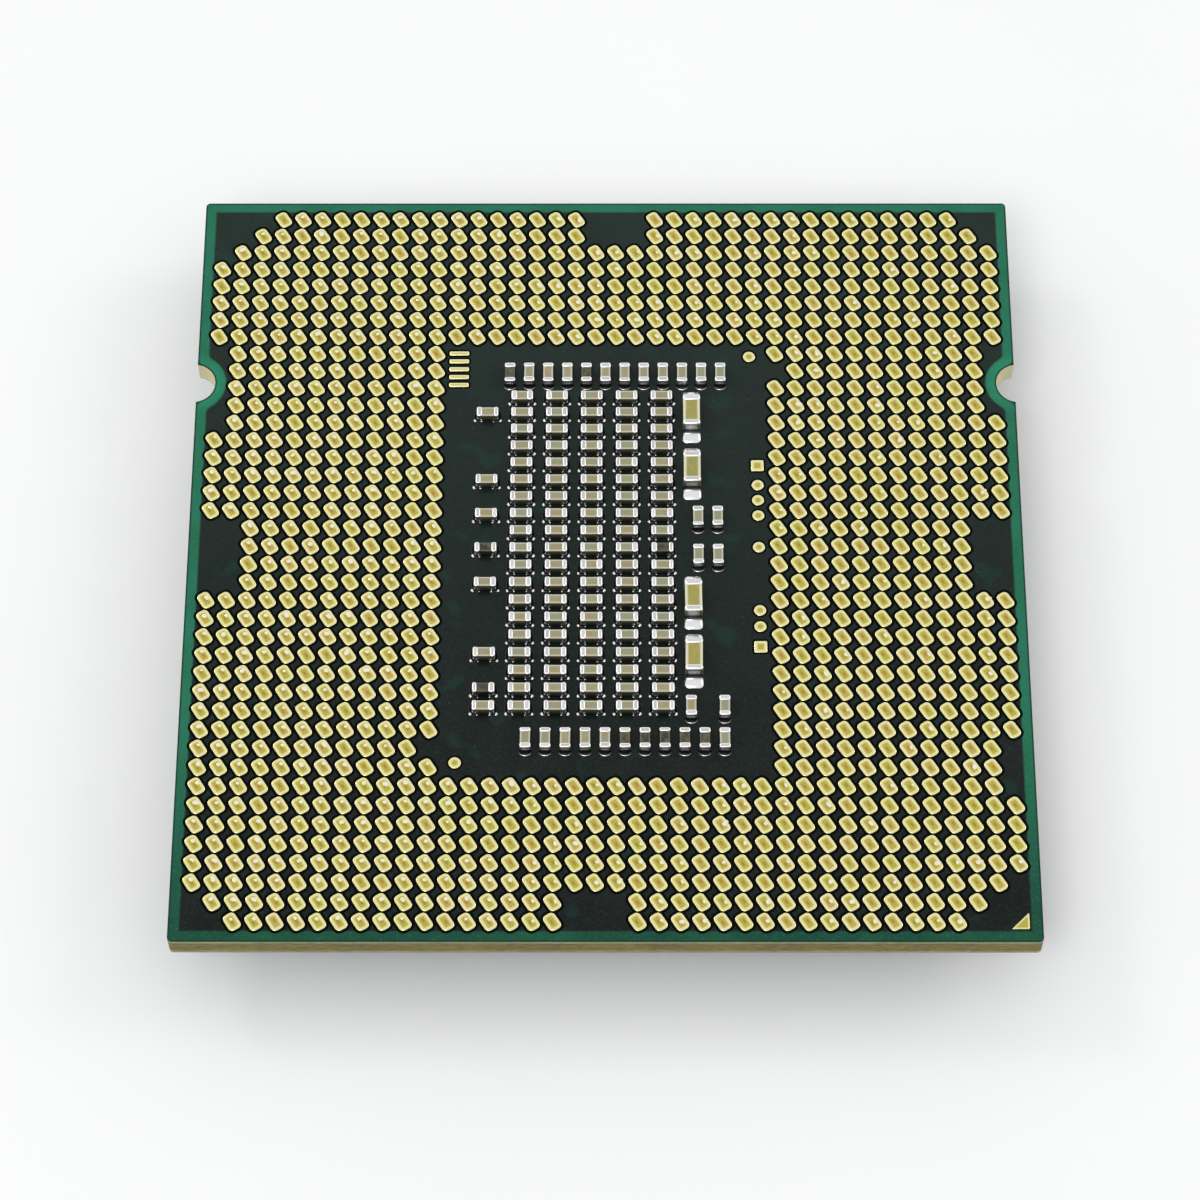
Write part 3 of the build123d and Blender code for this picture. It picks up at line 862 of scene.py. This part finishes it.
# A large chip's solder fills its long pad in one broad slope.
LARGE_SOLDER_SECTION = [
    (0.00, 1.00, 0.000, 0.0),
    (0.08, 0.70, 0.000, 0.1),
    (0.17, 0.48, 0.000, 0.2),
    (0.26, 0.38, 0.000, 0.8),
    (0.40, 0.33, 0.000, 1.0),
    (0.60, 0.27, 0.000, 1.0),
    (0.80, 0.19, 0.000, 1.0),
    (0.93, 0.10, 0.000, 1.0),
    (1.00, 0.00, 0.000, 0.8),
]


# Along a chip's sides the solder keeps these shares of its climb, its bead and its painted highlight.
SIDE_CLIMB = 0.12
SIDE_BEAD = 0.6
SIDE_HIGHLIGHT = 0.10
# A bead facing the back keeps this share of its painted highlight. Above 1, the gain widens its front.
BACK_HIGHLIGHT = 0.04
FRONT_HIGHLIGHT_GAIN = 1.4
# The solder stops this far inside the cap's and the pad's outlines.
SOLDER_INSET = 0.008 * MM
SOLDER_FOOT_CORNER = 0.24
# The solder's climb and the cap's length differ a little from chip to chip.
CLIMB_SHARES = (0.85, 1.05)
CAP_STRAY = (-0.02, 0.02)

# A bead of solder at a pad's front corner: share of its radius, share of its height.
BEAD_RINGS = [(1.0, 0.0), (0.97, 0.35), (0.86, 0.66), (0.64, 0.86), (0.36, 0.97)]
BEAD_FLATNESS = 0.65
# The beads at a pad's outer and inner front corners: side, least radius, largest radius.
BEADS = [(1.0, 0.066, 0.086), (-1.0, 0.034, 0.050)]
# A bead's centre is so many of its radii from the pad's sides.
BEAD_CLEARANCE = 1.05

# A pad's corner as a share of its half width: round under small chips that lie along Y.
ROUND_PAD_CORNER = 0.85
PAD_CORNER = 0.45
PLATE_EASE = 0.006 * MM
PLATE_SHOULDER = 0.7


def toward_end(foot_x, half_length):
    """How near a point of a cap's foot is to the chip's end: 0 along its sides, 1 at the end."""
    return clamp(foot_x / half_length) ** 2


def solder_skirt(foot, shore, half_length, climb, base, section):
    """Rings of solder from a pad's rim up to a chip's end. It is low along the chip's sides."""
    rings = []
    for t, share, bead, _ in reversed(section):
        ring = []
        for (foot_x, foot_y), (shore_x, shore_y) in zip(foot, shore):
            at_end = toward_end(foot_x, half_length)
            climbed = climb * share * lerp(SIDE_CLIMB, 1.0, at_end)
            beaded = bead * MM * lerp(SIDE_BEAD, 1.0, at_end)
            height = base + (climbed + beaded)
            ring.append(Vector((lerp(foot_x, shore_x, t), lerp(foot_y, shore_y, t), height)))
        rings.append(ring)
    return rings


def bead_highlight(turn, foot, half_length, section):
    """How strong the painted highlight is at each point of a skirt: strongest on its bead at the outer
    end, facing front.
    """
    steps = len(foot) // 4
    levels = []
    for bright in reversed(rims_of(section)):
        level = []
        for i, (foot_x, _) in enumerate(foot):
            facing = turn + (i // steps + (i % steps) / (steps - 1)) * math.pi / 2
            # Painted highlight: strongest where the bead faces the front.
            to_front = clamp(-FRONT_HIGHLIGHT_GAIN * math.sin(facing)) ** 2
            at_end = toward_end(foot_x, half_length)
            front_share = lerp(BACK_HIGHLIGHT, 1.0, to_front)
            end_share = lerp(SIDE_HIGHLIGHT, 1.0, at_end)
            level.append(bright * front_share * end_share)
        levels.append(level)
    return levels


def add_bead(solder, x, y, base, radius, tint):
    """A round bead of solder on a pad."""
    rings = []
    for share, height in BEAD_RINGS:
        outline = rounded_outline(share * radius, share * radius, share * radius, 3)
        rings.append(level_ring(outline, base + height * BEAD_FLATNESS * radius, (x, y)))
    top = Vector((x, y, base + BEAD_FLATNESS * radius))
    # The whole bead takes the solder's painted highlight.
    solder.loft(rings, tint=tint, rims=[1.0] * len(rings), centre=top)


def add_front_beads(solder, pad, direction, tint, chance):
    """The beads at the two front corners of a pad under a small chip that lies along X."""
    pad_half = (pad[1] - pad[0]) / 2
    for side, smallest, largest in BEADS:
        radius = chance.uniform(smallest, largest) * MM
        inward = BEAD_CLEARANCE * radius
        x = middle(pad).x + side * direction.x * (pad_half[0] - inward)
        add_bead(solder, x, pad[0].y + inward, pad[1].z, radius, tint)


def add_cap(caps, terminal, place, half_length, half_width, tint, chance):
    """One end cap. It is dipped, so its inner edge wanders a little from chip to chip."""
    extra = chance.uniform(*CAP_STRAY) * MM
    low, high = terminal[0].z, terminal[1].z
    corner, ease = CAP_CORNER * half_width, CAP_EASE * half_width
    rings = block_rings(half_length + extra, half_width, low, high, corner, ease)
    rings = moved(place @ Matrix.Translation((-extra, 0.0, 0.0)), rings)
    caps.loft(rings, tint=tint, rims=BLOCK_RIMS, start_cap=True)


def plate_rings(half_x, half_y, radius, low, high):
    """Rings of a thin pad with its top edge taken off."""
    outline = rounded_outline(half_x, half_y, radius, 3)
    inner = rounded_outline(half_x - PLATE_EASE, half_y - PLATE_EASE, radius, 3)
    stack = [(outline, low), (outline, lerp(low, high, PLATE_SHOULDER)), (inner, high)]
    return [level_ring(points, height) for points, height in stack]


def make_terminals(group, chance):
    """Metal end caps, solder that climbs them in a hollow curve, and the pads under them."""
    caps = Shape()
    solder = Shape()
    plates = Shape()
    is_large = group == "large"
    section = LARGE_SOLDER_SECTION if is_large else SOLDER_SECTION
    fillet = solids(f"{group}_solder_fillets")[0]
    climb = fillet[1].z - fillet[0].z
    pads = solids(f"{group}_chip_pads")
    for terminal, pad in pads_by_terminal(solids(f"{group}_capacitor_terminals"), pads):
        direction = outward(terminal, pad)
        along, across = (0, 1) if abs(direction.x) > 0.5 else (1, 0)
        half = (terminal[1] - terminal[0]) / 2
        pad_half = (pad[1] - pad[0]) / 2
        half_length, half_width = half[along], half[across]
        pad_length, pad_width = pad_half[along], pad_half[across]
        centre = middle(terminal)
        shift = (middle(pad).xy - centre.xy).length
        turn = math.atan2(direction.y, direction.x)
        place = Matrix.Translation((centre.x, centre.y, 0.0)) @ Matrix.Rotation(turn, 4, "Z")
        tint = chance.random()

        add_cap(caps, terminal, place, half_length, half_width, tint, chance)

        low, high = pad[0].z, pad[1].z
        is_round = along == 1 and not is_large
        pad_corner = pad_width * (ROUND_PAD_CORNER if is_round else PAD_CORNER)
        rings = plate_rings(pad_length, pad_width, pad_corner, low, high)
        rings = moved(place @ Matrix.Translation((shift, 0.0, 0.0)), rings)
        # At rim 0 the plates take the solder's near-black hollow colour, painted shade.
        plates.loft(rings, tint=tint, rims=[0.0] * len(rings))

        corner = SOLDER_FOOT_CORNER * half_width
        foot = rounded_outline(half_length - SOLDER_INSET, half_width - SOLDER_INSET, corner, 3)
        shore = rounded_outline(pad_length - SOLDER_INSET, pad_width - SOLDER_INSET, pad_corner, 3)
        shore = [(x + shift, y) for x, y in shore]
        top = climb * chance.uniform(*CLIMB_SHARES)
        rings = moved(place, solder_skirt(foot, shore, half_length, top, high, section))
        if is_large:
            highlight_shares = list(reversed(rims_of(section)))
        else:
            highlight_shares = bead_highlight(turn, foot, half_length, section)
        solder.loft(rings, tint=tint, rims=highlight_shares, end_cap=False)
        if along == 0 and not is_large:
            add_front_beads(solder, pad, direction, tint, chance)
    cap_piece = caps.build(f"{group}_end_caps", [tin_finish], sharp=70.0)
    stand_for(cap_piece, "tin", f"{group}_capacitor_terminals")
    solder_piece = solder.build(f"{group}_solder", [solder_finish], sharp=80.0)
    stand_for(solder_piece, "solder", f"{group}_solder_fillets")
    plate_piece = plates.build(f"{group}_pad_plates", [solder_finish], sharp=60.0)
    stand_for(plate_piece, "gold", f"{group}_chip_pads")


# ---------------------------------------------------------------- heat spreader
# Half sizes and corner radii.
FLANGE_RADIUS = 1.8 * MM
PLATEAU = (14.4 * MM, 15.3 * MM, 1.6 * MM)
CAVITY = (15.0 * MM, 14.0 * MM, 2.0 * MM)


def make_spreader():
    """The stepped cap, pressed from sheet, so its edges are soft; hollow over the die."""
    low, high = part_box("heat_spreader")
    ledge = mount_place("load_ledge_left")[2]
    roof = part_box("thermal_interface")[0][2]
    flange = (high[0], high[1], FLANGE_RADIUS)
    # From the middle of the face, over the edge and round to the roof of the cavity: half sizes
    # and radius, offset from them in millimetres, height.
    profile = [
        (PLATEAU, -0.70, low[2]),
        (PLATEAU, -0.42, low[2] + 0.004 * MM),
        (PLATEAU, -0.22, low[2] + 0.035 * MM),
        (PLATEAU, -0.07, low[2] + 0.12 * MM),
        (PLATEAU, 0.0, low[2] + 0.28 * MM),
        (PLATEAU, 0.0, ledge - 0.18 * MM),
        (PLATEAU, 0.03, ledge - 0.07 * MM),
        (PLATEAU, 0.12, ledge),
        (flange, -0.26, ledge),
        (flange, -0.08, ledge + 0.06 * MM),
        (flange, 0.0, ledge + 0.22 * MM),
        (flange, 0.0, high[2] - 0.10 * MM),
        (flange, -0.05, high[2] - 0.02 * MM),
        (flange, -0.14, high[2]),
        (CAVITY, 0.05, high[2]),
        (CAVITY, 0.0, high[2] - 0.06 * MM),
        (CAVITY, 0.0, roof + 0.3 * MM),
        (CAVITY, -0.3, roof),
    ]
    rings = []
    for (half_x, half_y, radius), offset, height in profile:
        offset = offset * MM
        outline = rounded_outline(half_x + offset, half_y + offset, radius + offset, 8)
        rings.append(level_ring(outline, height))
    shape = Shape()
    shape.loft(rings, start_cap=True)
    piece = shape.build("spreader_cap", [nickel_finish], sharp=50.0)
    stand_for(piece, "nickel", "heat_spreader")


# ---------------------------------------------------------------- carried-over CAD nodes
CAD_FINISHES = {
    "laminate_core": core_finish,
    "build_up_land_side": build_up_finish,
    "build_up_die_side": build_up_finish,
    "solder_mask_land_side": mask_finish,
    "solder_mask_die_side": mask_finish,
    "through_vias": copper_finish,
    "core_copper_land_side": copper_finish,
    "core_copper_die_side": copper_finish,
    "outer_copper_land_side": copper_finish,
    "outer_copper_die_side": copper_finish,
    "silicon_die": silicon_finish,
    "die_bumps": solder_finish,
    "underfill": underfill_finish,
    "thermal_interface": indium_finish,
    "sealant_bead": sealant_finish,
}


def finish_cad_nodes():
    """Gives each CAD node that stays its own procedural material."""
    for name, finish in CAD_FINISHES.items():
        mesh = frame["nodes"][name].data
        for index in range(len(mesh.materials)):
            mesh.materials[index] = finish


# ---------------------------------------------------------------- stage, light and camera
FLOOR_REACH = 1.5


def make_floor():
    """A wide pale sheet that the package lies on."""
    shader = Shader("pale_floor")
    grain = shader.noise(20.0 * MM, 2.0)
    shader.set(
        Base_Color=shader.mix(grain, (0.90, 0.90, 0.90), (0.93, 0.93, 0.93)),
        Roughness=0.9,
        Specular_IOR_Level=0.1,
    )
    mesh = bpy.data.meshes.new("floor")
    signs = [(-1, -1), (1, -1), (1, 1), (-1, 1)]
    corners = [(x * FLOOR_REACH, y * FLOOR_REACH, 0) for x, y in signs]
    mesh.from_pydata(corners, [], [(0, 1, 2, 3)])
    mesh.materials.append(shader.material)
    floor = bpy.data.objects.new("floor", mesh)
    bpy.context.scene.collection.objects.link(floor)


def soft_light(name, direction, distance, size, watts):
    """A square area light that faces the package from a direction."""
    light = bpy.data.lights.new(name, "AREA")
    light.size = size
    light.energy = watts
    lamp = bpy.data.objects.new(name, light)
    lamp.location = Vector(direction).normalized() * distance
    lamp.rotation_euler = (-lamp.location).to_track_quat("-Z", "Y").to_euler()
    bpy.context.scene.collection.objects.link(lamp)


def make_light():
    """A bright tent that is open and dark low at the front, with three soft lamps."""
    world = bpy.data.worlds.new("light_tent")
    bpy.context.scene.world = world
    world.use_nodes = True
    tent = Nodes(world.node_tree, "Generated")
    output = tent.tree.nodes.new("ShaderNodeOutputWorld")
    background = tent.tree.nodes.new("ShaderNodeBackground")
    tent.tree.links.new(background.outputs[0], output.inputs[0])
    axes = tent.axes()
    front = tent.span(axes[1], -0.35, -0.80)
    low = tent.span(axes[2], 0.35, 0.70, 1.0, 0.0)
    opening = tent.math("MULTIPLY", front, low)
    height = tent.span(axes[2], 0.0, 0.95)
    cloth = tent.mix(height, (1.0, 1.0, 1.0), (0.84, 0.85, 0.86))
    tent.feed(background.inputs["Color"], tent.mix(opening, cloth, (0.10, 0.10, 0.10)))
    tent.feed(background.inputs["Strength"], 0.95)
    soft_light("front_lamp", (-0.25, -0.50, 0.83), 0.6, 0.25, 0.8)
    soft_light("side_lamp", (0.75, 0.25, 0.55), 0.6, 0.20, 0.35)
    soft_light("left_lamp", (-0.60, 0.45, 0.62), 0.5, 0.10, 0.20)


def make_camera():
    """The camera looks down at the package from the front, with a very slight roll."""
    place = Vector((0.135, -86.945, 166.129)) * MM
    aim = Vector((-0.248, -2.285, 4.38)) * MM
    roll = -0.00388
    data = bpy.data.cameras.new("camera")
    data.sensor_width = 36.0
    data.lens = 122.86
    data.clip_start = 0.005
    camera = bpy.data.objects.new("camera", data)
    camera.location = place
    camera.rotation_mode = "QUATERNION"
    camera.rotation_quaternion = (aim - place).to_track_quat("-Z", "Y") @ Quaternion((0, 0, 1), roll)
    bpy.context.scene.collection.objects.link(camera)
    bpy.context.scene.camera = camera


# ---------------------------------------------------------------- making it all
make_camera()
make_light()
make_floor()
bpy.context.scene.view_settings.view_transform = "Standard"

chance = random.Random(SEED)
for side in ("back", "left", "right", "front"):
    make_lands(f"lands_{side}", f"contact_lands_{side}", chance)
make_pads("fiducial_pads", "fiducial_discs", chance, 1.0)
make_pads("round_test_pads", "round_test_discs", chance, 1.0)
make_pads("square_test_pads", "square_test_plates", chance, 0.2)
make_pads("ident_bars", "ident_ladder", chance, 0.5)
make_triangle("pin_one_triangle", "pin_one_mark", chance, 1)
make_triangle("pin_one_triangle_die_side", "pin_one_mark_die_side", chance, -1)

for group in ("array", "side_column", "back_row", "front_row", "paired", "large"):
    slot, finish = "ceramic", ceramic_finish
    if group == "large":
        slot, finish = "large_ceramic", large_ceramic_finish
    make_bodies(f"{group}_capacitor_bodies", f"{group}_ceramic_blocks", slot, finish, chance)
    make_terminals(group, chance)
make_bodies("dark_chip_bodies", "dark_ceramic_blocks", "dark_ceramic", dark_ceramic_finish, chance)

make_spreader()
finish_cad_nodes()
